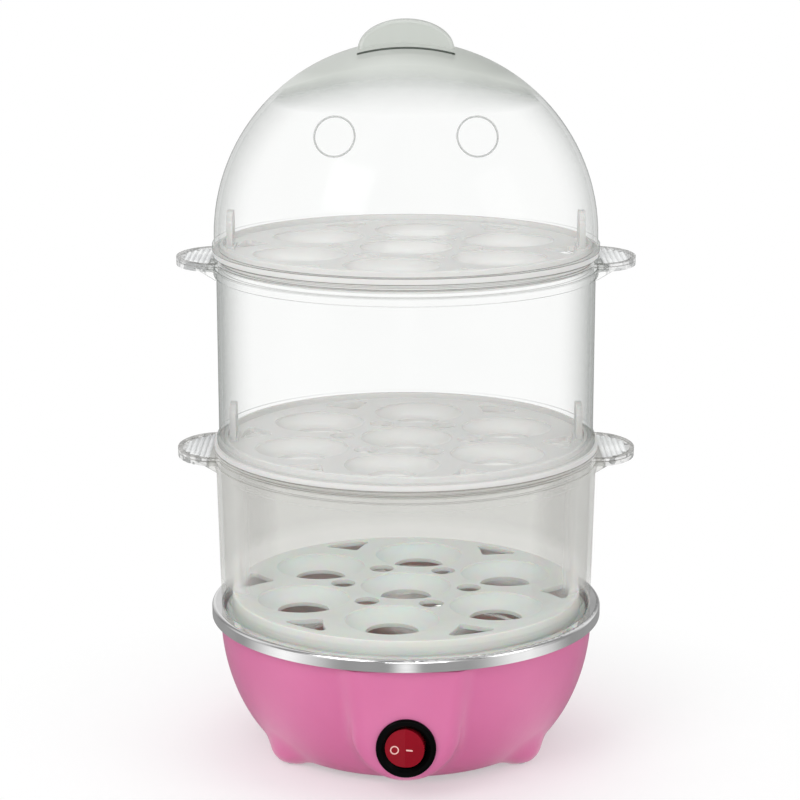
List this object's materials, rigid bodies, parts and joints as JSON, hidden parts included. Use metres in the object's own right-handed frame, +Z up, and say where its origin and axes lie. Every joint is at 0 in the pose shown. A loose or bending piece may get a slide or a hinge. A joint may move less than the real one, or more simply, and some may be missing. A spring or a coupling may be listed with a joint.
{
  "type": "egg boiler",
  "caption": "Electric egg boiler: pink heating base with rocker switch, stacked clear tiers with cupped egg trays, and a clear domed lid with a fin knob.",
  "frame": {"origin": "on the table under the middle of the bowl", "axes": "+Z up, the switch on the -Y side, the grip lugs on the -X and +X sides"},
  "size_m": [0.1846, 0.159, 0.2945],
  "materials": {
    "pink_plastic": "satin moulded polypropylene, pink",
    "rubber_foot": "matt moulded rubber",
    "cover_plastic": "fine textured, pink",
    "screw_steel": "zinc plated",
    "pan_steel": "spun stainless steel with a bright rolled rim",
    "seal_rubber": "silicone",
    "cast_aluminium": "as cast",
    "element_steel": "heat darkened",
    "ceramic_bead": "unglazed",
    "strap_steel": "pressed",
    "black_bakelite": "moulded phenolic",
    "block_nylon": "natural nylon",
    "brass_contact": "stamped",
    "lead_brown": "PVC insulation",
    "lead_red": "PVC insulation",
    "lead_blue": "PVC insulation",
    "lead_green": "PVC insulation",
    "black_plastic": "glossy moulded nylon",
    "red_plastic": "translucent red, glossy",
    "lamp_glass": "clear",
    "gland_rubber": "moulded",
    "tray_plastic": "pale grey translucent polypropylene, satin",
    "tray_clear": "clear moulded plastic, slightly frosted",
    "clear_plastic": "clear polystyrene, glossy"
  },
  "bodies": {
    "base": {"base_housing": "pink_plastic", "foot_pads": "rubber_foot", "bottom_cover": "cover_plastic", "cover_screws": "screw_steel", "heating_pan": "pan_steel", "pan_seal": "seal_rubber", "heater_plate": "cast_aluminium", "heating_element": "element_steel", "element_ends": "ceramic_bead", "clamp_strap": "strap_steel", "clamp_screws": "screw_steel", "thermostat": "black_bakelite", "thermostat_screws": "screw_steel", "thermal_fuse": "element_steel", "fuse_clip": "strap_steel", "terminal_block": "block_nylon", "block_sleeves": "brass_contact", "block_screws": "screw_steel", "earth_tag": "brass_contact", "element_link": "brass_contact", "supply_lead": "lead_brown", "switch_lead": "lead_red", "neutral_lead": "lead_blue", "earth_lead": "lead_green", "switch_body": "black_plastic", "switch_terminals": "brass_contact", "switch_lamp": "lamp_glass", "cord_gland": "gland_rubber", "gland_nut": "block_nylon"},
    "rocker": {"switch_rocker": "red_plastic"},
    "tray_low": {"lower_tray": "tray_plastic"},
    "tier_low": {"lower_barrel": "clear_plastic"},
    "tray_mid": {"middle_tray": "tray_clear"},
    "tier_up": {"upper_barrel": "clear_plastic"},
    "tray_top": {"top_tray": "tray_clear"},
    "lid": {"dome_lid": "clear_plastic"}
  },
  "joints": [
    {"name": "rocker_tilt", "type": "hinge", "parent": "base", "child": "rocker", "pos_m": [0, -0.0745, 0.02319], "axis": [0, 0.0436, 0.999], "range_deg": [0, 16]},
    {"name": "tray_low_lift", "type": "slide", "parent": "base", "child": "tray_low", "axis": [0, 0, 1], "range_m": [0, 0.05]},
    {"name": "tier_low_lift", "type": "slide", "parent": "tray_low", "child": "tier_low", "axis": [0, 0, 1], "range_m": [0, 0.04]},
    {"name": "tray_mid_lift", "type": "slide", "parent": "tier_low", "child": "tray_mid", "axis": [0, 0, 1], "range_m": [0, 0.04]},
    {"name": "tier_up_lift", "type": "slide", "parent": "tray_mid", "child": "tier_up", "axis": [0, 0, 1], "range_m": [0, 0.04]},
    {"name": "tray_top_lift", "type": "slide", "parent": "tier_up", "child": "tray_top", "axis": [0, 0, 1], "range_m": [0, 0.04]},
    {"name": "lid_lift", "type": "slide", "parent": "tray_top", "child": "lid", "axis": [0, 0, 1], "range_m": [0, 0.08]}
  ]
}
